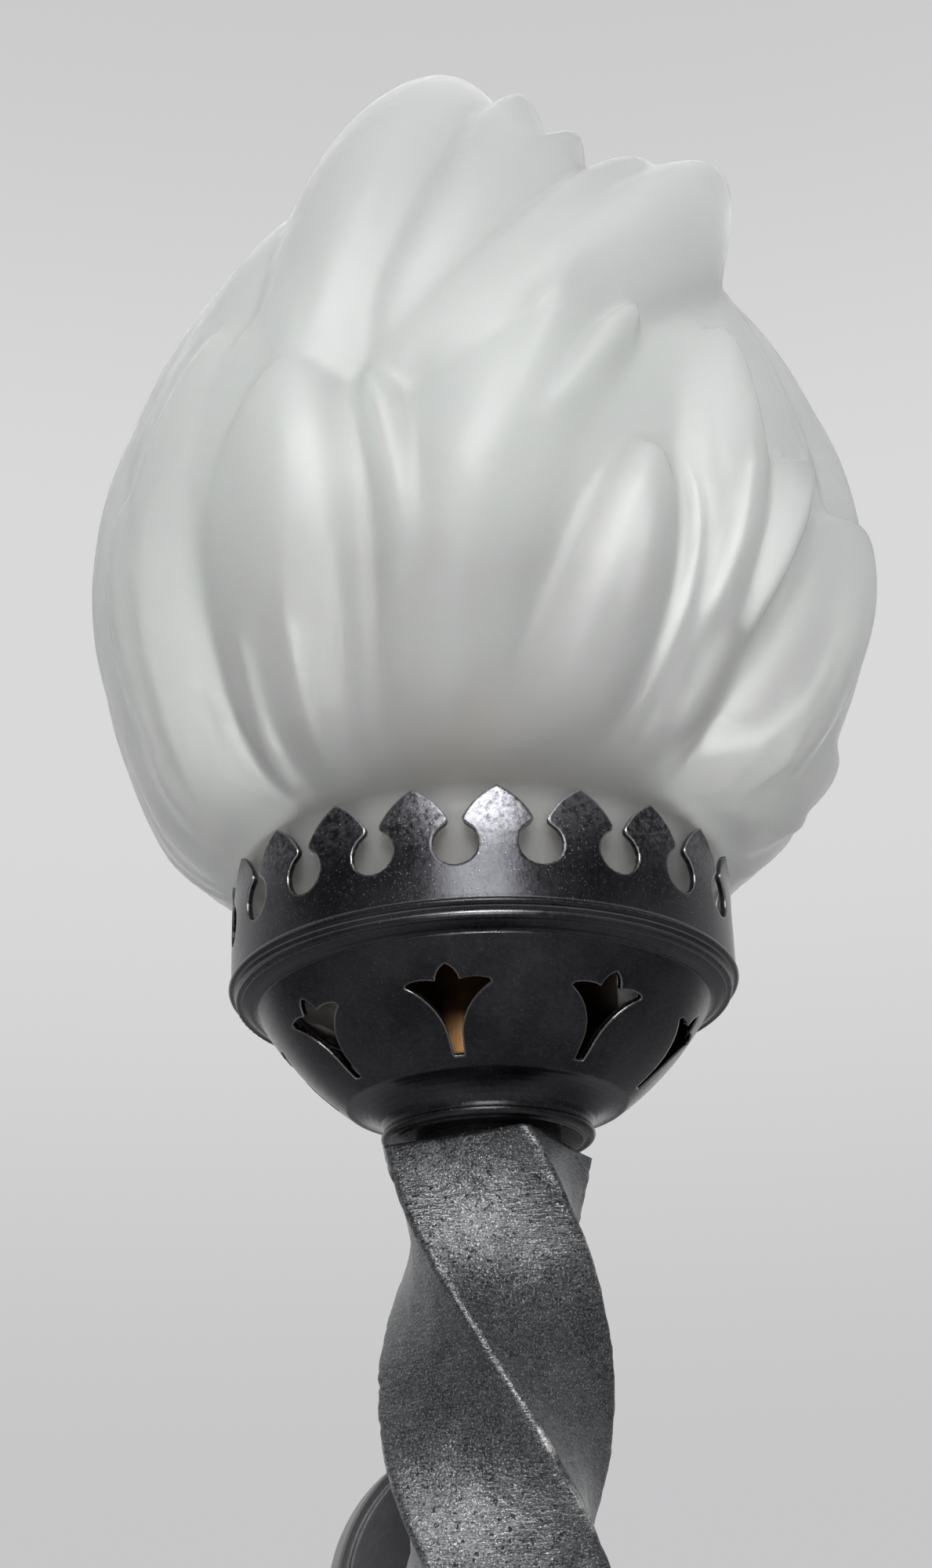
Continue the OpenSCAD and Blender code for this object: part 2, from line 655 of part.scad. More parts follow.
// Height of one tongue in a direction: a round tip, a full upper half and a foot
// that narrows a little and fades away, with soft flanks
function tongue_at(t, f, way) =
    let (u = atan2(way * f[1], way * f[0]) / f[3])
    u <= 0 || u >= 1 ? 0 :
    let (wide = u < 0.35 ? pow(sin(90 * u / 0.35), 0.52) : 1 - 0.5 * pow((u - 0.35) / 0.65, 2),
         v = (asin(way * f[2]) - f[4] * sin(180 * u)) / (t[6] * wide + 0.01))
    abs(v) >= 1 ? 0 : t[7] * pow(1 - v * v, flank) * pow(sin(180 * pow(u, 0.42)), 0.55);

// Tongues run softly into each other, as hot glass does
function flame_lift(az, polar) =
    let (way = towards(az, polar),
         high = [for (i = [0:len(tongues) - 1])
             pow(tongue_at(tongues[i], tongue_frames[i], way), melt / 2)])
    tongue_share * pow(high * high, 1 / melt);

// Least height of the tongues in a direction and a step to each side of it, which
// keeps the glass whole beside a tongue's edge
function least_lift(az, polar, reach) =
    min([for (d = [[0, 0], [reach, 0], [-reach, 0], [0, reach], [0, -reach]])
        flame_lift(az + d[0], polar + d[1])]);

function lean_at(height) = flame_lean * pow(max(0, height / flame_dome), 2);

// One ring of flame points: base form pushed out along the line from its middle.
// lift is the share of the tongues' height that the surface follows, and reach the
// angle that it keeps from their edges.
function flame_ring(row, steps, lift, reach) =
    let (span = norm(row), polar = atan2(row[0], row[1]),
         fade = max(0, min(1, (row[1] + flame_mid - 1) / flame_fade)))
    [for (i = [0:steps - 1])
        let (az = i * 360 / steps,
             share = (span + fade * lift * least_lift(az, polar, reach)) / span)
        [row[0] * share * sin(az) + lean_at(row[1]), -row[0] * share * cos(az),
         row[1] * share]];

// The same base form one glass thickness further in, at every second row
function inner_rows(rows) = concat(
    [[rim_r - glass_t, rows[0][1]]],
    [for (j = [2:2:len(rows) - 2])
        let (along = unit(rows[j + 1] - rows[j - 1]))
        rows[j] + glass_t * [-along[1], along[0]]]);

// Triangles between a ring of points and the next one up, and round its apex
function shell_faces(first, rings, steps) = concat(
    [for (j = [0:rings - 2]) for (i = [0:steps - 1])
        let (k = (i + 1) % steps, low = first + j * steps, high = low + steps)
        each [[low + i, high + i, low + k], [low + k, high + i, high + k]]],
    [for (i = [0:steps - 1]) let (last = first + (rings - 1) * steps)
        [first + rings * steps, last + (i + 1) % steps, last + i]]);
function turned(faces) = [for (f = faces) [f[2], f[1], f[0]]];

module flame_shade() color("#e9ebe8", 0.6) on_axis(flame_z) {
    rows = flame_rows();
    inner = inner_rows(rows);
    steps = flame_az_steps;
    inner_steps = steps / 2;
    start = len(rows) * steps + 1;
    top = flame_dome + flame_peak;
    points = concat(
        [for (row = rows) each flame_ring(row, steps, 1, 0)],
        [[lean_at(top), 0, top + flame_lift(0, 0)]],
        [for (row = inner) each flame_ring(row, inner_steps, flame_inner_lift,
                                           flame_inner_reach)],
        [[lean_at(top), 0, top - glass_t
          + flame_inner_lift * least_lift(0, 0, flame_inner_reach)]]);
    polyhedron(points, concat(
        shell_faces(0, len(rows), steps),
        turned(shell_faces(start, len(inner), inner_steps)),
        [for (m = [0:inner_steps - 1])
            let (q = start + m, r = start + (m + 1) % inner_steps, i = 2 * m)
            each [[q, i, i + 1], [q, i + 1, r], [r, i + 1, (i + 2) % steps]]]));
}

module base_spacer() color("darkgoldenrod")
    ring(floor_z, sleeve_lift, tube_d / 2 + 3, tube_d / 2 + hole_gap);

module holder_sleeve() color("#8a6a3a") on_axis(sleeve_z) difference() {
    union() {
        cylinder(h = sleeve_h, r = sleeve_d / 2, $fn = 96);
        translate([0, 0, sleeve_h - 1.6]) cylinder(h = 1.6, r = sleeve_d / 2 + 0.6, $fn = 96);
    }
    translate([0, 0, sleeve_t]) cylinder(h = sleeve_h, r = sleeve_d / 2 - sleeve_t, $fn = 96);
    translate([0, 0, -past]) cylinder(h = 4, r = tube_d / 2 + hole_gap);
}

module riser_tube() color("darkgoldenrod")
    ring(sleeve_z + sleeve_t, holder_z - sleeve_z - sleeve_t,
         tube_d / 2 + 3, tube_d / 2 + hole_gap);

module holder_cap() color("#2b2624") on_axis(holder_z) difference() {
    rotate_extrude() polygon(concat([[0, 0], [holder_r - 7, 0]],
        arc([holder_r - 7, 0], [holder_r, 9], 2.4), [[holder_r, holder_cap_h], [0, holder_cap_h]]));
    translate([0, 0, holder_floor + 5])
        cylinder(h = holder_cap_h, r = holder_r - holder_wall);
    translate([0, 0, holder_floor]) cylinder(h = 6, r = holder_r - 7);
    translate([0, 0, -past]) cylinder(h = 6, r = tube_d / 2);
}

module holder_barrel() color("#2b2624")
    ring(barrel_z, holder_barrel_h, holder_r, holder_r - holder_wall - 0.6);

module holder_insulator() color("white") on_axis(insulator_z) difference() {
    cylinder(h = insulator_t, r = holder_r - holder_wall - 0.6);
    for (side = [-1, 1]) translate([side * 9, 0, -past])
        cylinder(h = insulator_t - 1, r = 1.6, $fn = 32);
}

module screw_shell() color("#b08d4a")
    ring(contact_z, holder_top_z - contact_z - 3, shell_r, shell_r - shell_t);

module centre_contact() color("#b08d4a") on_axis(contact_z) union() {
    translate([-3, -2, 0]) cube([6, 4, contact_rise - 0.6]);
    translate([-4, -3, contact_rise - 0.6]) cube([8, 6, 0.6]);
}

module holder_terminals() color("#b08d4a") on_axis(insulator_z)
    for (side = [-1, 1]) translate([side * 9, 0, -4]) difference() {
        union() {
            cylinder(h = 4 + insulator_t - 2, r = 1.6, $fn = 32);
            cylinder(h = 4, r = 3.2, $fn = 32);
        }
        translate([0, 0, -past]) cylinder(h = 2.5 + past, r = wire_r + 0.1, $fn = 32);
    }

// Screw cap of the lamp: a rolled thread of rounded ridges on a plain skirt
function thread_profile() = let (ridges = 5, pitch = 3.6, root = cap_thread_d / 2 - 1.1)
    concat([[0, 0], [root, 0]],
           [for (i = [0:ridges - 1]) each [[root, (i + 0.15) * pitch],
                                           [root + 1.1, (i + 0.4) * pitch],
                                           [root + 1.1, (i + 0.6) * pitch],
                                           [root, (i + 0.85) * pitch]]],
           [[root, lamp_cap_h], [0, lamp_cap_h]]);

module bulb_screw_cap() color("#c9b98a") on_axis(lamp_cap_z) difference() {
    rotate_extrude() polygon(thread_profile());
    translate([0, 0, 1]) cylinder(h = lamp_cap_h, r = cap_thread_d / 2 - 2);
}

module bulb_contact() color("#1c1c1e") on_axis(lamp_tip_z) rotate_extrude()
    polygon([[0, 0], [tip_r - 1, 0], [tip_r, 0.6], [tip_r, tip_h],
             [cap_thread_d / 2 - 1.2, tip_h + black_glass_h], [0, tip_h + black_glass_h]]);

// Solid bulb form, smaller by inset all round: a ball on a neck with a hollow curve
module bulb_form(inset) {
    ball_r = bulb_d / 2;
    ball_z = bulb_top_z - ball_r;
    lean = 38;
    meet = [ball_r * cos(lean), ball_z - ball_r * sin(lean)];
    rotate_extrude($fn = 96) polygon([for (p = concat(
        [[inset, bulb_z], [bulb_neck_r, bulb_z], [bulb_neck_r, bulb_z + 3]],
        arc([bulb_neck_r + 0.6, bulb_z + 5], meet, -2.4, 6),
        [for (i = [1:16]) let (a = -lean + (90 + lean) * i / 16)
            [ball_r * cos(a), ball_z + ball_r * sin(a)]]))
        let (out = norm([p[0], p[1] - ball_z])) [max(p[0] * (1 - inset / out), 0),
            p[1] == bulb_z ? bulb_z + inset : ball_z + (p[1] - ball_z) * (1 - inset / out)]]);
}

module bulb_glass() color("#f4f1ea") on_axis() {
    difference() {
        bulb_form(0);
        bulb_form(bulb_wall);
    }
    translate([0, 0, bulb_z - 6]) cylinder(h = 6, r = bulb_neck_r - 2);
}

// A round wire swept along its points: each ring stands square to the route
function wire_ring(path, i) =
    let (t = unit(path[min(i + 1, len(path) - 1)] - path[max(i - 1, 0)]),
         n = unit([1, 0, 0] - t[0] * t), b = cross(t, n), sides = 8)
    [for (k = [0:sides - 1]) let (a = k * 360 / sides)
        path[i] + wire_r * (n * cos(a) + b * sin(a))];

module wire(path) {
    sides = 8;
    n = len(path);
    polyhedron([for (i = [0:n - 1]) each wire_ring(path, i)], concat(
        [[for (k = [0:sides - 1]) k]],
        [for (i = [0:n - 2]) for (k = [0:sides - 1]) let (m = (k + 1) % sides)
            each [[i * sides + k, (i + 1) * sides + k, i * sides + m],
                  [i * sides + m, (i + 1) * sides + k, (i + 1) * sides + m]]],
        [[for (k = [sides - 1:-1:0]) (n - 1) * sides + k]]));
}

// Route of one supply wire: out of its lampholder terminal, down the threaded
// tube, round through the hub, along the arm and down to the terminal block
function supply_route(side, terminal_x) =
    let (x = side * wire_pitch / 2)
    concat(
        [[side * 9, -reach, insulator_z - 3.4], [side * 9, -reach, insulator_z - 6],
         [side * 7, -reach, insulator_z - 9], [side * 4, -reach, tube_top_z + 4.5],
         [x * 1.15, -reach, tube_top_z + 1.5], [x, -reach, tube_top_z - 2],
         [x, -reach, hub_bend_r + 8]],
        [for (a = [0:15:90]) [x, -reach + hub_bend_r * (1 - cos(a)), hub_bend_r * (1 - sin(a))]],
        [for (a = [0:18:90]) [x, terminal_y - plate_bend_r * (1 - sin(a)),
                              -plate_bend_r * (1 - cos(a))]],
        [[x + (terminal_x - x) * 0.15, terminal_y - 1, -13],
         [x + (terminal_x - x) * 0.5, terminal_y - 2, -22],
         [terminal_x, terminal_y - 1, -31], [terminal_x, terminal_y, terminal_z],
         [terminal_x, terminal_y, terminal_z - 4.6]]);

module live_wire() color("saddlebrown") wire(supply_route(-1, -terminal_pitch));

module neutral_wire() color("royalblue") wire(supply_route(1, 0));

module earth_wire() color("yellowgreen")
    wire([[earth_screw_x + 3.2, -strap_t - wire_r - 0.1, earth_screw_z + 2],
          [earth_screw_x + 3, -strap_t - wire_r - 0.1, earth_screw_z - 3],
          [earth_screw_x + 1.4, -strap_t - wire_r - 0.6, earth_screw_z - 8],
          [earth_screw_x, terminal_y, terminal_z + 7], [earth_screw_x, terminal_y, terminal_z],
          [earth_screw_x, terminal_y, terminal_z - 4.6]]);

wall_strap();
strap_studs();
earth_screw();
terminal_block();
terminal_screws();
wall_plate();
cap_nuts();
arm_tube();
arm_nut();
rear_ferrule();
front_ferrule();
hub();
twisted_stem();
tail_bar();
tie_rod();
tail_collar();
tail_finial();
threaded_tube();
neck_spacer();
pierced_bowl();
crown_gallery();
felt_ring();
flame_shade();
base_spacer();
holder_sleeve();
riser_tube();
holder_cap();
holder_barrel();
holder_insulator();
screw_shell();
centre_contact();
holder_terminals();
bulb_screw_cap();
bulb_contact();
bulb_glass();
live_wire();
neutral_wire();
earth_wire();
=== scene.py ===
import math
import bmesh
import bpy
import numpy as np
from mathutils import Matrix, Vector, noise


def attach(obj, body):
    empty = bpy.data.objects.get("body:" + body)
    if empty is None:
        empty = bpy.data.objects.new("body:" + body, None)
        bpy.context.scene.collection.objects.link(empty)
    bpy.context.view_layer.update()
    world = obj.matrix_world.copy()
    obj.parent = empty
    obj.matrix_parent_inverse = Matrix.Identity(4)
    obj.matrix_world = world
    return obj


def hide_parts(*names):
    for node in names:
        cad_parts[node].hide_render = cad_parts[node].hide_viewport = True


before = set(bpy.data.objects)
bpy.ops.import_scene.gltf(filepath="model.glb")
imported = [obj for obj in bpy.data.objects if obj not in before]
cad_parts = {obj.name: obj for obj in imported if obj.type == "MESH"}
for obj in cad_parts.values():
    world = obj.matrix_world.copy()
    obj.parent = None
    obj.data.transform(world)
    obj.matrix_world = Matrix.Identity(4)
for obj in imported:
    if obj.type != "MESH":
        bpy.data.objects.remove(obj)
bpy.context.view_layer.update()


# Wall strap, its two studs and the earth screw: pressed steel strip and turned
# studs, bright zinc plated, screwed to the wall behind the plate.
class Number:
    """A number on its way through a shader; sums on it add Math nodes."""

    def __init__(self, graph, socket):
        self.graph, self.socket = graph, socket

    def sum(self, operation, *numbers):
        return self.graph.node("ShaderNodeMath", {"operation": operation},
                               dict(enumerate(numbers)))

    def __add__(self, other):
        return self.sum("ADD", self, other)

    def __sub__(self, other):
        return self.sum("SUBTRACT", self, other)

    def __rsub__(self, other):
        return self.sum("SUBTRACT", other, self)

    def __mul__(self, other):
        return self.sum("MULTIPLY", self, other)

    __radd__ = __add__
    __rmul__ = __mul__


class Graph:
    """The nodes of one material or of the world."""

    def __init__(self, tree):
        self.tree = tree
        self.place = self.node("ShaderNodeTexCoord", out="Object")

    def node(self, kind, settings={}, sockets={}, out=0):
        """Adds a node: its settings first, then the values or links of its sockets."""
        node = self.tree.nodes.new(kind)
        for key, value in settings.items():
            setattr(node, key, value)
        self.fill(node, sockets)
        return Number(self, node.outputs[out])

    def fill(self, node, sockets):
        for key, value in sockets.items():
            if isinstance(value, Number):
                self.tree.links.new(value.socket, node.inputs[key])
            else:
                node.inputs[key].default_value = value

    def grain(self, size, detail=2.0, stretch=(1, 1, 1), harsh=0.55):
        """Soft cloudy noise whose patches are about size metres wide."""
        place = self.place
        if stretch != (1, 1, 1):
            place = self.node("ShaderNodeMapping", {}, {"Vector": place, "Scale": stretch})
        return self.node("ShaderNodeTexNoise", {}, {
            "Vector": place, "Scale": 1 / size, "Detail": detail, "Roughness": harsh})

    def step(self, value, low, high, start=0.0, end=1.0):
        """Eases from start to end as value goes from low to high."""
        return self.node("ShaderNodeMapRange", {"interpolation_type": "SMOOTHSTEP"}, {
            "Value": value, "From Min": low, "From Max": high,
            "To Min": start, "To Max": end})

    def blend(self, share, first, second):
        colours = [c if isinstance(c, Number) else (*c, 1) for c in (first, second)]
        return self.node("ShaderNodeMix", {"data_type": "RGBA"},
                         {0: share, 6: colours[0], 7: colours[1]}, 2)

    def height(self):
        return self.node("ShaderNodeSeparateXYZ", {}, {0: self.place}, "Z")

    def soft_edges(self, radius, samples=6):
        """Normal with its edges rounded, and how near an edge each point is."""
        soft = self.node("ShaderNodeBevel", {"samples": samples}, {"Radius": radius})
        flat = self.node("ShaderNodeNewGeometry", out="Normal")
        agree = self.node("ShaderNodeVectorMath", {"operation": "DOT_PRODUCT"},
                          {0: soft, 1: flat}, "Value")
        return soft, 1 - agree

    def relief(self, heights, depth, normal=None):
        sockets = {"Height": heights, "Distance": depth, "Strength": 1.0}
        if normal:
            sockets["Normal"] = normal
        return self.node("ShaderNodeBump", {}, sockets)


class Finish(Graph):
    """A Principled material: constants on its sockets, then what varies by paint()."""

    def __init__(self, name, **constants):
        self.material = bpy.data.materials.new(name)
        self.material.use_nodes = True
        super().__init__(self.material.node_tree)
        self.skin = self.tree.nodes["Principled BSDF"]
        self.paint(**constants)

    def paint(self, **sockets):
        self.fill(self.skin, {key.replace("_", " ").title().replace("Ior", "IOR"): value
                              for key, value in sockets.items()})

    def dress(self, *names):
        for name in names:
            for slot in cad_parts[name].material_slots:
                slot.material = self.material


zinc = Finish("zinc_plate", metallic=1.0)
dull = zinc.grain(0.012, 3)
zinc.paint(
    base_color=zinc.blend(dull, (0.50, 0.51, 0.53), (0.66, 0.67, 0.69)),
    roughness=zinc.step(dull, 0.3, 0.7, 0.26, 0.4) + zinc.grain(0.0006) * 0.06,
    normal=zinc.relief(zinc.grain(0.0008, 3), 0.00004, zinc.soft_edges(0.0005, 4)[0]))
zinc.dress("wall_strap", "strap_studs", "earth_screw")


# Terminal block with its screws, and the three wires: moulded natural nylon,
# zinc screws, and wires in brown, blue and green-and-yellow insulation.
nylon = Finish("natural_nylon", subsurface_weight=0.15, subsurface_scale=0.002)
nylon_tone = nylon.grain(0.006, 3)
nylon.paint(
    base_color=nylon.blend(nylon_tone, (0.74, 0.71, 0.62), (0.82, 0.80, 0.72)),
    roughness=nylon.step(nylon_tone, 0.3, 0.7, 0.38, 0.5),
    normal=nylon.relief(nylon.grain(0.0007), 0.00003, nylon.soft_edges(0.0005, 4)[0]))
nylon.dress("terminal_block")
zinc.dress("terminal_screws")


def insulation(name, colour, stripe=None):
    wire = Finish(name)
    tone = wire.grain(0.004, 3)
    pale = tuple(min(1, c * 1.25 + 0.01) for c in colour)
    skin = wire.blend(tone, colour, pale)
    if stripe:
        along = wire.node("ShaderNodeTexWave", {"bands_direction": "X"},
                          {"Vector": wire.place, "Scale": 70, "Distortion": 1.5})
        skin = wire.blend(wire.step(along, 0.5, 0.6), skin, stripe)
    wire.paint(base_color=skin, roughness=wire.step(tone, 0.3, 0.7, 0.35, 0.5),
               normal=wire.relief(wire.grain(0.0006), 0.00002))
    return wire


insulation("brown_wire", (0.13, 0.045, 0.018)).dress("live_wire")
insulation("blue_wire", (0.02, 0.07, 0.32)).dress("neutral_wire")
insulation("earth_wire", (0.10, 0.30, 0.02), (0.65, 0.55, 0.03)).dress("earth_wire")


# Wall plate: slim pointed-arch cover pressed from steel with a stepped border,
# in dark satin lacquer rubbed thin along its edges, held by two cap nuts.
plate_skin = Finish("plate_lacquer", coat_roughness=0.3)
plate_soft, plate_edge = plate_skin.soft_edges(0.0009)
plate_cloud = plate_skin.grain(0.018, 4)
plate_wear = plate_skin.step(plate_edge + plate_skin.grain(0.003, 3) * 0.05, 0.05, 0.16)
plate_skin.paint(
    base_color=plate_skin.blend(plate_wear * 0.8, plate_skin.blend(
        plate_cloud, (0.030, 0.030, 0.033), (0.060, 0.060, 0.064)), (0.30, 0.29, 0.28)),
    metallic=plate_skin.step(plate_wear, 0, 1, 0.45, 0.9),
    roughness=plate_skin.step(plate_cloud, 0.3, 0.7, 0.36, 0.52),
    coat_weight=0.25,
    normal=plate_skin.relief(plate_skin.grain(0.0012, 3), 0.00006, plate_soft))
plate_skin.dress("wall_plate", "cap_nuts", "arm_nut")


# Arm and its two ferrules, and the hub that the bar stands on: turned and forged
# steel in the dark pewter finish of the cup, clamped by the arm's ring nut.
pewter = Finish("dark_pewter", metallic=0.85)
pewter_soft, pewter_edge = pewter.soft_edges(0.0008)
pewter_cloud = pewter.grain(0.014, 4)
pewter_fine = pewter.grain(0.0009, 3)
pewter_specks = pewter.step(pewter.grain(0.00045, 2), 0.62, 0.72)
pewter_wear = pewter.step(pewter_edge + pewter_fine * 0.04, 0.045, 0.14)
pewter_worn = (0.46, 0.45, 0.44)
pewter_tone = pewter.blend(pewter.step(pewter_cloud + pewter_fine * 0.5, 0.5, 1.0),
                           (0.030, 0.030, 0.034), (0.075, 0.075, 0.080))
pewter_tone = pewter.blend(pewter_specks * 0.35, pewter_tone, pewter_worn)
pewter.paint(
    base_color=pewter.blend(pewter_wear * 0.85, pewter_tone, pewter_worn),
    roughness=pewter.step(pewter_cloud + pewter_fine * 0.4, 0.4, 1.0, 0.30, 0.46),
    normal=pewter.relief(pewter_fine + pewter_specks * 0.4, 0.00004, pewter_soft))
pewter.dress("arm_tube", "rear_ferrule", "front_ferrule", "hub", "tail_collar",
             "tail_finial")


# Stem and tail: square iron bar, heated, twisted, planished with a hammer and
# wire-brushed; it is drawn thinner towards the cup and down the tail.
bar_half = 17.1
bar_corner = 1.4
twist_per_mm = math.radians(1.61)
hub_top = 23
stem_top = 134.6
top_turn = math.radians(51.6)
top_share = 0.912
tail_length = 54
tail_share = 0.62
stem_axis = Vector((0, -104, 0))


def to_metres(bm, lift=0.0):
    """Puts a piece that was shaped in millimetres round the stem's axis in its place."""
    bmesh.ops.transform(bm, verts=bm.verts, matrix=Matrix.Scale(0.001, 4)
                        @ Matrix.Translation(stem_axis + Vector((0, 0, lift))))


def make_piece(name, bm, finish, body):
    mesh = bpy.data.meshes.new(name)
    bm.to_mesh(mesh)
    bm.free()
    for face in mesh.polygons:
        face.use_smooth = True
    piece = bpy.data.objects.new(name, mesh)
    bpy.context.collection.objects.link(piece)
    mesh.materials.append(finish.material)
    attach(piece, body)
    return piece


def twisted_bar(top, bottom, share_above, share_below, step=0.8):
    """Twisted square bar between two heights, with hammer marks and nicked corners."""
    bm = bmesh.new()
    bmesh.ops.create_circle(bm, segments=4, radius=bar_half * math.sqrt(2))
    bmesh.ops.rotate(bm, verts=bm.verts, matrix=Matrix.Rotation(
        math.pi / 4 + top_turn + twist_per_mm * (stem_top - top), 3, "Z"))
    bmesh.ops.translate(bm, verts=bm.verts, vec=(0, 0, top))
    bmesh.ops.bevel(bm, geom=bm.verts[:], offset=bar_corner * 1.2, segments=4, profile=0.5,
                    affect="VERTICES", material=-1)
    flats = [e for e in bm.edges if e.calc_length() > 10]
    bmesh.ops.subdivide_edges(bm, edges=flats, cuts=22)
    length = top - bottom
    steps = round(length / step)
    section = bm.verts[:] + bm.edges[:]
    bmesh.ops.spin(bm, geom=section, cent=(0, 0, 0), axis=(0, 0, 1),
                   dvec=(0, 0, -length / steps), angle=twist_per_mm * length, steps=steps)
    for vert in bm.verts:
        x, y, z = vert.co
        share = share_above + (share_below - share_above) * (top - z) / length
        dent = (0.34 * noise.noise(vert.co / 7.5) + 0.16 * noise.noise(vert.co / 3.1)
                + 0.05 * noise.noise(vert.co / 1.3))
        away = math.hypot(x, y)
        corner = max(0, (away - bar_half * 1.12) / (bar_half * 0.3))
        nick = max(0, noise.noise(vert.co / 2.2 + Vector((9, 4, 2))) - 0.15)
        reach = share * (1 + (dent - 0.25 - 0.9 * corner * nick) / away)
        vert.co = (x * reach, y * reach, z)
    for height, toward in ((top, 1), (bottom, -1)):
        rim = [e for e in bm.edges if all(abs(v.co.z - height) < 0.01 for v in e.verts)]
        for shrink, rise in ((0.975, 0.35), (0.94, 0.5)):
            new = bmesh.ops.extrude_edge_only(bm, edges=rim)["geom"]
            ring = [v for v in new if isinstance(v, bmesh.types.BMVert)]
            for vert in ring:
                vert.co = (vert.co.x * shrink, vert.co.y * shrink,
                           height + toward * (rise - 0.5))
            rim = [e for e in new if isinstance(e, bmesh.types.BMEdge)
                   and all(v in set(ring) for v in e.verts)]
        bmesh.ops.holes_fill(bm, edges=rim, sides=0)
    bmesh.ops.recalc_face_normals(bm, faces=bm.faces)
    return bm


iron = Finish("brushed_iron")
iron_soft = iron.soft_edges(0.0010, 8)[0]
scale_cloud = iron.grain(0.011, 4)
forge_marks = iron.grain(0.0012, 3, (0.5, 0.5, 2.2), 0.6)
iron_grain = iron.grain(0.00048, 3, harsh=0.75)
pits = iron.step(iron.grain(0.0012, 3, harsh=0.65), 0.61, 0.70)
flecks = iron.step(iron.grain(0.00035, 1), 0.56, 0.68)
iron_place = iron.node("ShaderNodeVectorMath", {"operation": "ADD"},
                       {0: iron.place, 1: -stem_axis / 1000})
from_axis = iron.node("ShaderNodeVectorMath", {"operation": "LENGTH"}, {
    0: iron.node("ShaderNodeVectorMath", {"operation": "MULTIPLY"},
                 {0: iron_place, 1: (1, 1, 0)})}, "Value")
# how close a point is to the bar's corners, whose distance from the axis shrinks upwards
corner_line = from_axis + iron.height() * 0.0185
# pale corners: wear on the bar's edges, plus a painted highlight along the edge line
corner_wear_and_highlight = iron.step(corner_line + iron_grain * 0.0009, 0.02395, 0.02445)
corner_wear_and_highlight = corner_wear_and_highlight * iron.step(scale_cloud, 0.42, 0.60, 0.05, 1.0)
iron_shade = iron.step(scale_cloud * 0.35 + iron_grain + forge_marks * 0.5, 0.62, 1.22)
iron_tone = iron.blend(iron_shade, (0.026, 0.027, 0.029), (0.150, 0.153, 0.157))
iron_tone = iron.blend(pits * 0.6, iron_tone, (0.010, 0.010, 0.011))
iron_tone = iron.blend(flecks * 0.45, iron_tone, (0.46, 0.47, 0.47))
iron.paint(
    base_color=iron.blend(corner_wear_and_highlight * 0.85, iron_tone, (0.66, 0.65, 0.63)),
    metallic=0.9,
    roughness=iron.step(scale_cloud + iron_grain, 0.6, 1.4, 0.27, 0.46),
    normal=iron.relief(iron_grain * 0.6 + forge_marks * 1.1 - pits * 0.9 + scale_cloud * 0.3,
                       0.00022, iron_soft))

stem_bm = twisted_bar(stem_top, hub_top, top_share, 1)
to_metres(stem_bm)
stem = make_piece("stem_bar", stem_bm, iron, "fixture")
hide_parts("twisted_stem")
tail_bm = twisted_bar(-hub_top, -hub_top - tail_length, 1, tail_share)
to_metres(tail_bm)
tail = make_piece("tail_twist", tail_bm, iron, "fixture")
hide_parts("tail_bar")


# Tie rod, threaded tube and the spacer under the cup: turned steel on the
# stem's axis that clamps hub, bar and cup together.
zinc.dress("tie_rod", "threaded_tube")
pewter.dress("neck_spacer")


# Cup: a spun bowl with cut fleurs between plain fields, and the gallery band with
# twenty filed points, both dark pewter, rubbed bright on the points.
cup_skin = Finish("cup_pewter")
cup_soft, cup_edge = cup_skin.soft_edges(0.0008, 8)
cup_cloud = cup_skin.grain(0.018, 4)
cup_fine = cup_skin.grain(0.0010, 3, harsh=0.65)
cup_specks = cup_skin.step(cup_skin.grain(0.00040, 2), 0.62, 0.72)
band = cup_skin.step(cup_skin.height(), 0.167, 0.176)
rubbed = cup_skin.step(cup_skin.height(), 0.176, 0.189)
cup_wear = cup_skin.step(cup_edge + cup_fine * 0.05, 0.05, 0.13) * (rubbed * 0.5 + 0.28)
cup_tone = cup_skin.blend(cup_skin.step(cup_cloud + cup_fine * 0.4, 0.45, 0.95),
                          (0.012, 0.012, 0.014), (0.036, 0.036, 0.040))
cup_tone = cup_skin.blend(rubbed * cup_skin.step(cup_fine + cup_cloud * 0.5, 0.55, 0.95),
                          cup_tone, (0.13, 0.13, 0.14))
cup_tone = cup_skin.blend(cup_specks * (0.10 + band * 0.22), cup_tone, (0.36, 0.37, 0.39))
cup_skin.paint(
    base_color=cup_skin.blend(cup_wear, cup_tone, (0.50, 0.49, 0.48)),
    metallic=0.9,
    roughness=cup_skin.step(cup_cloud + cup_fine * 0.5, 0.4, 1.1, 0.21, 0.36),
    normal=cup_skin.relief(cup_fine * 0.6 + cup_specks * 0.4, 0.00005, cup_soft))
cup_skin.dress("pierced_bowl", "crown_gallery")


# Felt ring under the glass: pressed brown wool felt, cut to the rim.
felt = Finish("pressed_felt", sheen_weight=0.4, sheen_roughness=0.5)
felt_fibre = felt.grain(0.0006, 4, (1, 1, 3), 0.7)
felt.paint(
    base_color=felt.blend(felt_fibre, (0.13, 0.085, 0.05), (0.30, 0.22, 0.15)),
    roughness=0.95,
    normal=felt.relief(felt_fibre, 0.0003))
felt.dress("felt_ring")
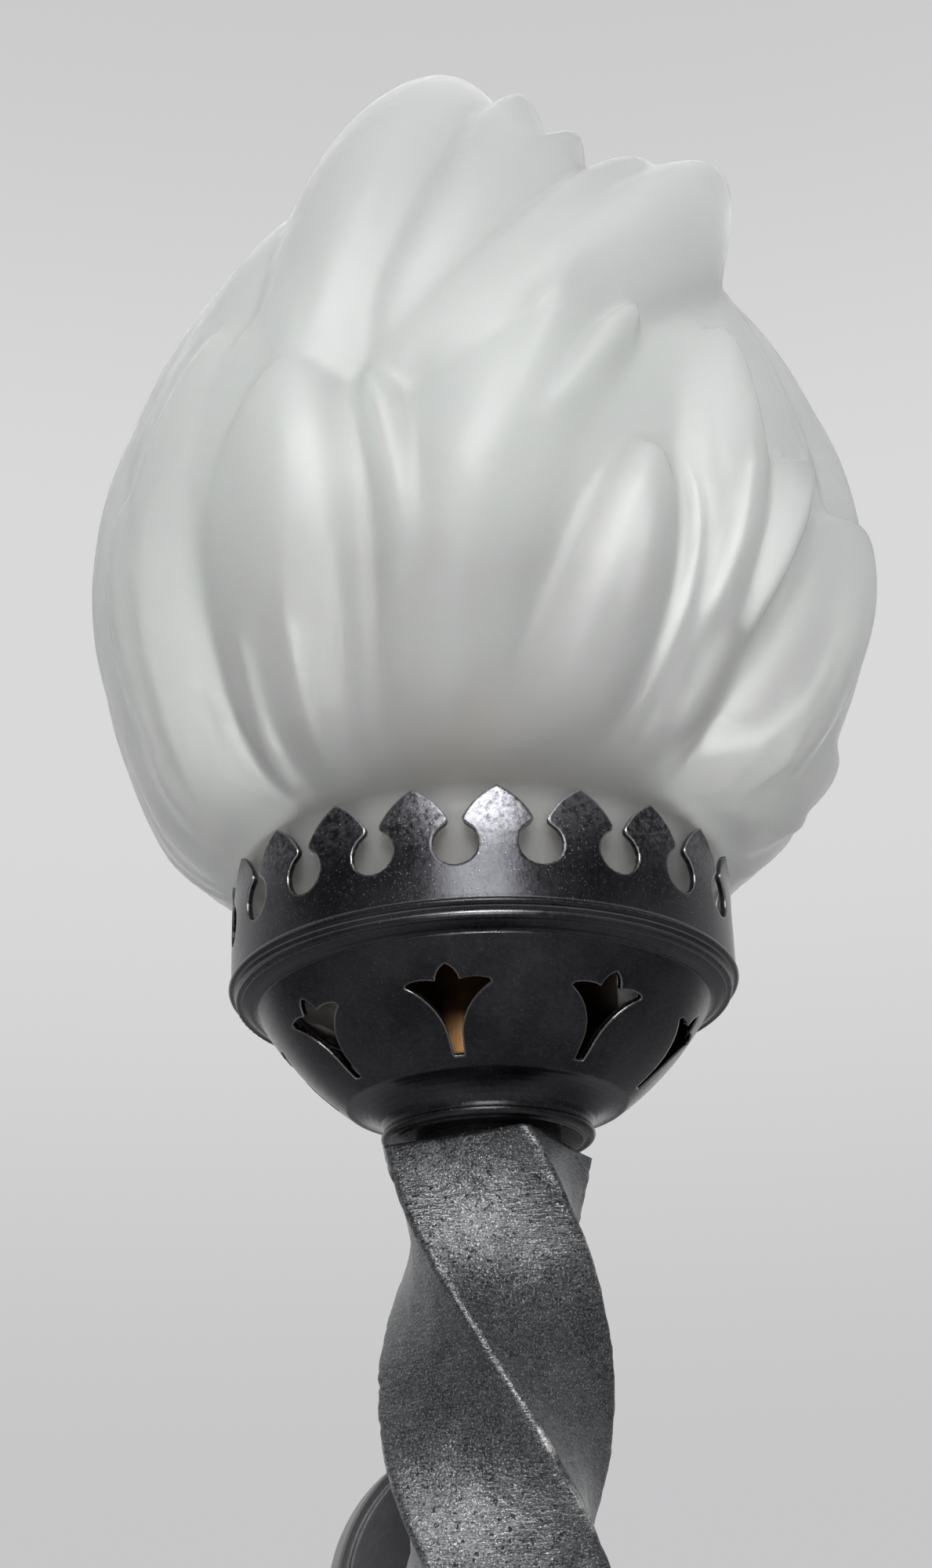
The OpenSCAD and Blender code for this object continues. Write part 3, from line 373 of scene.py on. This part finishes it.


# Lampholder and its sleeve: brass tube dulled brown by heat and painted darker still, a painted
# shade for its place deep inside the cup;
# a black phenolic holder with a porcelain core, and a sheet-brass screw shell and contact.
brass = Finish("aged_brass", metallic=1.0)
brass_cloud = brass.grain(0.015, 5, (1, 1, 0.4))
brass_fine = brass.grain(0.0012, 3, (1, 1, 0.3))
brass_soft, brass_edge = brass.soft_edges(0.0006, 4)
# base tone: heat tarnish, darkened further as painted shade for the sleeve inside the cup
brass_tarnish_and_shade = brass.blend(brass.step(brass_cloud + brass_fine * 0.3, 0.35, 0.9),
                         (0.06, 0.03, 0.014), (0.15, 0.08, 0.034))
brass.paint(
    base_color=brass.blend(brass.step(brass_edge, 0.05, 0.2), brass_tarnish_and_shade, (0.60, 0.42, 0.20)),
    roughness=brass.step(brass_cloud, 0.3, 0.7, 0.28, 0.45),
    normal=brass.relief(brass_fine, 0.00003, brass_soft))
brass.dress("holder_sleeve", "base_spacer", "riser_tube", "screw_shell",
            "centre_contact", "holder_terminals")

phenolic = Finish("black_phenolic", coat_roughness=0.12)
phenolic_flow = phenolic.grain(0.009, 5, (1, 1, 2))
phenolic.paint(
    base_color=phenolic.blend(phenolic_flow, (0.012, 0.010, 0.009), (0.035, 0.026, 0.020)),
    roughness=phenolic.step(phenolic_flow, 0.3, 0.7, 0.22, 0.34),
    coat_weight=0.4,
    normal=phenolic.relief(phenolic.grain(0.002), 0.00003, phenolic.soft_edges(0.0006, 4)[0]))
phenolic.dress("holder_cap", "holder_barrel")

porcelain = Finish("white_porcelain", coat_weight=0.6, coat_roughness=0.08)
porcelain_tone = porcelain.grain(0.008, 4)
porcelain.paint(
    base_color=porcelain.blend(porcelain_tone, (0.72, 0.70, 0.64), (0.80, 0.79, 0.75)),
    roughness=porcelain.step(porcelain_tone, 0.3, 0.7, 0.16, 0.26),
    normal=porcelain.relief(porcelain.grain(0.003), 0.00006,
                            porcelain.soft_edges(0.0006, 4)[0]))
porcelain.dress("holder_insulator")


# Lamp: a globe of soft white opal glass on a rolled nickel screw cap, with its
# contact set in black glass.
lamp_metal = Finish("lamp_cap_sheet", metallic=1.0)
lamp_tone = lamp_metal.grain(0.005, 4)
lamp_metal.paint(
    base_color=lamp_metal.blend(lamp_tone, (0.58, 0.56, 0.50), (0.74, 0.72, 0.66)),
    roughness=lamp_metal.step(lamp_tone, 0.3, 0.7, 0.2, 0.34),
    normal=lamp_metal.relief(lamp_metal.grain(0.0008), 0.00003))
lamp_metal.dress("bulb_screw_cap")

black_glass = Finish("black_glass", coat_weight=0.5)
vitreous = black_glass.grain(0.003, 3)
tip_up = black_glass.step(vitreous, 0.35, 0.65)
black_glass.paint(
    base_color=black_glass.blend(tip_up, (0.012, 0.012, 0.014), (0.03, 0.03, 0.034)),
    roughness=black_glass.step(vitreous, 0.3, 0.7, 0.12, 0.25),
    normal=black_glass.relief(vitreous, 0.00004))
black_glass.dress("bulb_contact")

opal = Finish("opal_globe", transmission_weight=0.35, ior=1.45, subsurface_weight=0.3,
              subsurface_scale=0.004)
opal_tone = opal.grain(0.02, 3)
opal.paint(
    base_color=opal.blend(opal_tone, (0.86, 0.84, 0.79), (0.92, 0.91, 0.88)),
    roughness=opal.step(opal_tone, 0.3, 0.7, 0.22, 0.34),
    normal=opal.relief(opal.grain(0.01), 0.00005))
opal.dress("bulb_glass")


# Flame: one piece of milky satin glass, blown and tooled into overlapping
# tongues that lean round it; it stands loose on the felt, inside the gallery.
flame_middle = 250.0
crown_top = 190.0
rim_radius, rim_height = 41.0, 166.2
glass_wall = 3.6
dome_radius, dome_height, dome_peak, dome_lean = 77.0, 113.0, 9.0, 4.0
# the wall's inner side follows the tongues less, and only those wider than this
inner_share, inner_reach = 0.7, 7
# tip, middle and foot of each tongue as turn and angle from the top, then half
# its width in degrees and its height in millimetres
tongues = np.array([
    # left
    [-52, 64, -66, 100, -74, 146, 15, 4], [-37, 77, -40, 102, -44, 148, 16, 8.5],
    [-42, 64, -48, 90, -50, 130, 14, 4], [-26, 80, -22, 104, -28, 136, 5, 4.5],
    # top
    [-21, 10, -28, 46, -38, 84, 17, 16], [2, 26, -10, 48, -26, 76, 9, 14.5],
    [12, 34, -4, 50, -26, 78, 7, 11.5], [26, 38, 4, 55, -24, 82, 8, 12],
    [56, 32, 20, 52, -20, 82, 11, 17],
    # middle
    [4, 62, -12, 98, -24, 146, 12, 6], [28, 66, 26, 96, 12, 146, 10, 6],
    [3, 67, -2, 78, -10, 97, 3.5, 8], [12, 70, 4, 81, -7, 97, 4, 8],
    [13, 91, 9, 112, -20, 146, 9.5, 5.5],
    # right
    [60, 84, 57, 104, 22, 138, 12.5, 9], [40, 84, 36, 96, 30, 116, 5, 8],
    [76, 114, 66, 124, 40, 140, 8, 6], [75, 126, 66, 133, 40, 146, 7, 5],
    [72, 58, 72, 88, 64, 136, 14, 7], [94, 86, 88, 112, 78, 148, 13, 3],
    [90, 24, 78, 54, 66, 92, 14, 9], [118, 22, 108, 52, 98, 94, 17, 9],
    # back
    [118, 62, 116, 98, 104, 146, 15, 4], [136, 88, 132, 112, 124, 148, 13, 3],
    [150, 18, 146, 50, 140, 98, 18, 16], [152, 60, 154, 98, 148, 146, 14, 6],
    [172, 84, 170, 112, 162, 148, 13, 6], [188, 14, 184, 48, 178, 92, 18, 19],
    [192, 62, 194, 98, 188, 146, 15, 6], [210, 86, 208, 112, 200, 148, 13, 5],
    [228, 20, 226, 52, 222, 96, 18, 8], [232, 62, 232, 98, 222, 146, 15, 3],
    [250, 88, 248, 112, 240, 148, 13, 3], [272, 22, 268, 54, 264, 96, 16, 2.5],
    [268, 60, 270, 98, 260, 146, 14, 3], [288, 84, 286, 112, 276, 148, 13, 4],
    [306, 36, 304, 62, 302, 98, 14, 2], [304, 64, 302, 98, 292, 146, 14, 3],
    # peak
    [210, 3, 120, 16, 70, 44, 15, 12], [40, 2, 250, 14, 262, 40, 14, 10]])


def towards(turn, polar):
    turn, polar = np.radians(turn), np.radians(polar)
    return np.stack([np.sin(turn) * np.sin(polar), -np.cos(turn) * np.sin(polar),
                     np.cos(polar) + 0 * turn], -1)


def tongue_heights(way):
    """Height of the tongues in each direction; they run softly into each other."""
    best = np.zeros(len(way))
    for t in tongues:
        tip, middle, foot = towards(t[0:6:2], t[1:6:2])
        side = np.cross(tip, foot)
        side /= np.linalg.norm(side)
        along = np.cross(side, tip)
        span = math.acos(tip @ foot)
        halfway = math.atan2(middle @ along, middle @ tip) / span
        bow = math.asin(middle @ side) / math.sin(math.pi * halfway)
        u = np.arctan2(way @ along, way @ tip) / span
        inside = (u > 0) & (u < 1)
        u = np.clip(u, 1e-6, 1 - 1e-6)
        wide = np.where(u < 0.35, np.sin(np.pi / 2 * np.minimum(u / 0.35, 1)) ** 0.52,
                        1 - 0.5 * ((u - 0.35) / 0.65) ** 2)
        v = np.degrees(np.arcsin(np.clip(way @ side, -1, 1)) - bow * np.sin(np.pi * u))
        v = np.abs(v) / (t[6] * wide + 0.01)
        high = t[7] * np.maximum(1 - v * v, 0) ** 1.35 * np.sin(np.pi * u ** 0.42) ** 0.55
        best += np.where(inside, high, 0) ** 7
    return best ** (1 / 7)


def flowing(points, gap):
    """Points along the smooth line through the given ones, about gap apart."""
    p = np.array([points[0]] + list(points) + [points[-1]], float)
    line = []
    for a, b, c, d in zip(p, p[1:], p[2:], p[3:]):
        for t in np.arange(0, 1, 1 / max(1, round(np.linalg.norm(c - b) / gap))):
            line.append(b + 0.5 * t * (c - a + t * (2 * a - 5 * b + 4 * c - d
                                                    + t * (3 * (b - c) + d - a))))
    return line + [p[-1]]


rim = (rim_radius, rim_height - flame_middle)
neck_rows = [rim, (47.9, 187 - flame_middle), (48.1, 190.6 - flame_middle)]
skirt_rows = [(50.6, -58.1), (54.4, -56.4), (58.6, -53.4), (62.4, -48.5), (65.6, -43),
              (68.6, -36), (71.4, -28), (74.2, -19), (76.2, -10)]
dome_rows = [(dome_radius * math.cos(a) ** 1.25,
              dome_height * math.sin(a) + dome_peak * math.sin(a) ** 8)
             for a in np.radians(np.arange(0, 90, 4))]
dome_rows.append((0, dome_height + dome_peak))


def flame_wall(bm, rows, steps, share, reach):
    """Turns the rows into a shell and pushes it out along the tongues."""
    line = [bm.verts.new((r, 0, z)) for r, z in rows]
    edges = [bm.edges.new(pair) for pair in zip(line, line[1:])]
    before = set(bm.verts) - set(line)
    bmesh.ops.spin(bm, geom=line + edges, cent=(0, 0, 0), axis=(0, 0, 1),
                   angle=2 * math.pi, steps=steps, use_merge=True)
    shell = [v for v in bm.verts if v not in before]
    at = np.array([v.co for v in shell])
    away = np.linalg.norm(at, axis=1)
    turn = np.degrees(np.arctan2(at[:, 0], -at[:, 1]))
    polar = np.degrees(np.arccos(at[:, 2] / away))
    lift = tongue_heights(towards(turn, polar))
    for dt, dp in ((reach, 0), (-reach, 0), (0, reach), (0, -reach)) if reach else ():
        lift = np.minimum(lift, tongue_heights(towards(turn + dt, polar + dp)))
    fade = np.clip((at[:, 2] + flame_middle - crown_top - 1) / 12, 0, 1)
    # fine tooled grooves fan out from the rim and die out towards the middle
    fan = np.clip((polar - 100) / 26, 0, 1) * fade
    wander = np.radians(turn * 31 + polar * 9) + 2.5 * np.sin(np.radians(turn * 7 + 40))
    groove = 0 if reach else 0.4 * fan * np.sin(wander) * np.sin(np.radians(turn * 5.5)) ** 2
    grown = at * ((away + fade * share * lift + groove) / away)[:, None]
    grown[:, 0] += dome_lean * np.clip(at[:, 2] / dome_height, 0, 2) ** 2
    for vert, co in zip(shell, grown):
        vert.co = co
    return shell


flame_bm = bmesh.new()
row_gap, turns = ((1.5, 360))
outer_rows = flowing(neck_rows, 3)[:-1] + flowing(
    [neck_rows[-1]] + skirt_rows + dome_rows, row_gap)
outer = flame_wall(flame_bm, outer_rows, turns, 1.0, 0)
above_skirt = [v for v in outer if v.co.z > -55]
for _ in range(2):
    bmesh.ops.smooth_vert(flame_bm, verts=above_skirt, factor=0.5,
                          use_axis_x=True, use_axis_y=True, use_axis_z=True)
middle_line = np.array(flowing(neck_rows + skirt_rows + dome_rows, 4))
beside = np.diff(middle_line, axis=0)[:-1] + np.diff(middle_line, axis=0)[1:]
beside /= np.linalg.norm(beside, axis=1)[:, None]
inward = glass_wall * np.stack([-beside[:, 1], beside[:, 0]], 1)
inner_rows = [(rim_radius - glass_wall, rim[1])]
inner_rows += [tuple(p) for p in middle_line[1:-1] + inward]
inner_rows.append((0, dome_height + dome_peak - glass_wall))
flame_wall(flame_bm, inner_rows, turns, inner_share, inner_reach)
bmesh.ops.bridge_loops(flame_bm, edges=[e for e in flame_bm.edges if e.is_boundary])
bmesh.ops.remove_doubles(flame_bm, verts=flame_bm.verts, dist=0.01)
bmesh.ops.recalc_face_normals(flame_bm, faces=flame_bm.faces)
to_metres(flame_bm, flame_middle)

glass = Finish("satin_glass", transmission_weight=0.8, ior=1.42, subsurface_weight=0.8,
               subsurface_radius=(1, 1, 1), subsurface_scale=0.012)
milk = glass.grain(0.035, 3)
# lower part of the glass, by height: painted warmer, a painted tint for the brass sleeve and
# holder seen through it; also made glossier there
low_down = glass.step(glass.height(), 0.19, 0.27, 1.0, 0.0)
glass_tone = glass.blend(milk, (0.88, 0.90, 0.885), (0.94, 0.95, 0.94))
glass.paint(
    base_color=glass.blend(low_down * 0.25, glass_tone, (0.95, 0.91, 0.88)),
    roughness=glass.step(milk, 0.3, 0.7, 0.49, 0.57) - low_down * 0.20,
    normal=glass.relief(glass.grain(0.012, 2) + glass.grain(0.0006, 2) * 0.02, 0.0004))
flame = make_piece("glass_flame", flame_bm, glass, "shade")
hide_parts("flame_shade")


# Room for the picture: a plain pale floor and pale surroundings, soft lamps, and
# a camera below the cup and a little to the left, as the photograph was taken.
def lamp(name, place, target, size, power, colour=(1, 1, 1)):
    light = bpy.data.lights.new(name, "AREA")
    light.shape = "DISK"
    light.size, light.energy, light.color = size, power, colour
    holder = bpy.data.objects.new(name, light)
    holder.location = place
    holder.rotation_euler = (Vector(target) - Vector(place)).to_track_quat("-Z", "Y").to_euler()
    bpy.context.collection.objects.link(holder)


cup_at = (0, -0.104, 0.18)
lamp("key_lamp", (-0.25, -1.16, 0.64), cup_at, 0.6, 17)
lamp("side_lamp", (0.95, -0.40, 0.60), cup_at, 1.2, 1)
lamp("back_lamp", (0.1, 0.85, 1.25), cup_at, 1.0, 6)

world = bpy.data.worlds.new("soft_room")
bpy.context.scene.world = world
world.use_nodes = True
room = Graph(world.node_tree)
rays = world.node_tree.nodes.new("ShaderNodeLightPath")
in_view = Number(room, rays.outputs["Is Camera Ray"])
through_glass = Number(room, rays.outputs["Is Transmission Ray"])
in_metal = Number(room, rays.outputs["Is Glossy Ray"])
facing = room.node("ShaderNodeTexCoord", out="Generated")
depth = room.node("ShaderNodeSeparateXYZ", {}, {0: facing}, "Y")
rise = room.node("ShaderNodeSeparateXYZ", {}, {0: facing}, "Z")
behind = room.step(depth + rise * 0.8, 0.0, 1.0, 0.1, 1.0)
middle_band = room.step(rise, 0.10, 0.42) * room.step(rise, 0.50, 0.72, 1.0, 0.2)
backdrop = room.blend(middle_band, (0.57, 0.565, 0.575), (0.69, 0.695, 0.69))
mirrored = room.blend(behind, (0.11, 0.11, 0.12), (0.80, 0.805, 0.81))
surroundings = room.blend(in_metal, (0.32, 0.32, 0.33), mirrored)
surroundings = room.blend(through_glass, surroundings, (0.81, 0.81, 0.80))
room.fill(room.tree.nodes["Background"], {
    "Color": room.blend(in_view, surroundings, backdrop), "Strength": 1.0})

floor_bm = bmesh.new()
bmesh.ops.create_grid(floor_bm, x_segments=1, y_segments=1, size=6)
bmesh.ops.translate(floor_bm, verts=floor_bm.verts, vec=(0, 0, -0.30))
floor_mesh = bpy.data.meshes.new("floor")
floor_bm.to_mesh(floor_mesh)
floor_bm.free()
floor = bpy.data.objects.new("floor", floor_mesh)
bpy.context.collection.objects.link(floor)
floor_skin = Finish("pale_floor", roughness=0.9)
floor_skin.paint(base_color=floor_skin.blend(floor_skin.grain(0.5), (0.56, 0.56, 0.57),
                                             (0.59, 0.59, 0.60)))
floor_mesh.materials.append(floor_skin.material)

camera = bpy.data.cameras.new("camera")
camera.lens, camera.sensor_width = 51.02, 36
camera.shift_x, camera.shift_y = -0.0094, 0.0658
eye = bpy.data.objects.new("camera", camera)
bpy.context.collection.objects.link(eye)
aim = Vector((0, -0.104, 0.190))
below, left, roll = math.radians(21.89), math.radians(13), -0.03117
stand = aim + 0.450 * Vector((-math.cos(below) * math.sin(left),
                              -math.cos(below) * math.cos(left), -math.sin(below)))
ahead = (aim - stand).normalized()
right = ahead.cross(Vector((0, 0, 1))).normalized()
up = right.cross(ahead)
right, up = (right * math.cos(roll) + up * math.sin(roll),
             up * math.cos(roll) - right * math.sin(roll))
eye.matrix_world = Matrix.Translation(stand) @ Matrix((right, up, -ahead)).transposed().to_4x4()
bpy.context.scene.camera = eye
bpy.context.scene.view_settings.view_transform = "Standard"
